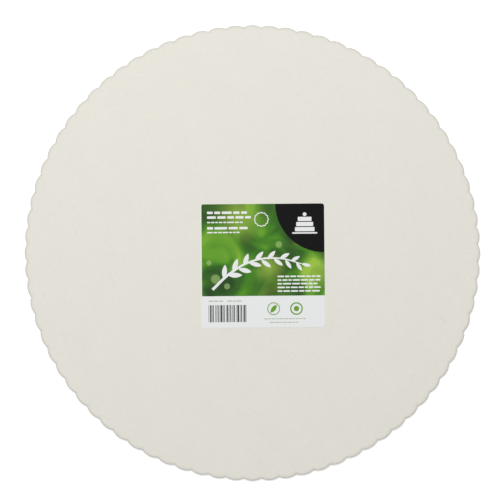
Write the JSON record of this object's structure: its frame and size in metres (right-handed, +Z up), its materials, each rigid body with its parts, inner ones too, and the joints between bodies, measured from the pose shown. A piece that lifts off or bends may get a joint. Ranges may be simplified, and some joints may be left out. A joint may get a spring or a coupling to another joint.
{
  "type": "cake board",
  "caption": "Round flat cake board of wood-pulp board with a scalloped rim, and a square printed paper label stuck to its upper face.",
  "frame": {"origin": "centre of the board's underside", "axes": "+Z up, out of the face that carries the cake and the label; +Y to the head of the label; +X to its right"},
  "size_m": [0.28, 0.28, 0.0013],
  "materials": {
    "pulp_board": "matte",
    "label_paper": "satin",
    "green_ink": "satin",
    "dark_ink": "satin"
  },
  "bodies": {
    "root": {"board": "pulp_board", "label_paper": "label_paper", "label_green_print": "green_ink", "label_dark_print": "dark_ink"}
  },
  "joints": []
}
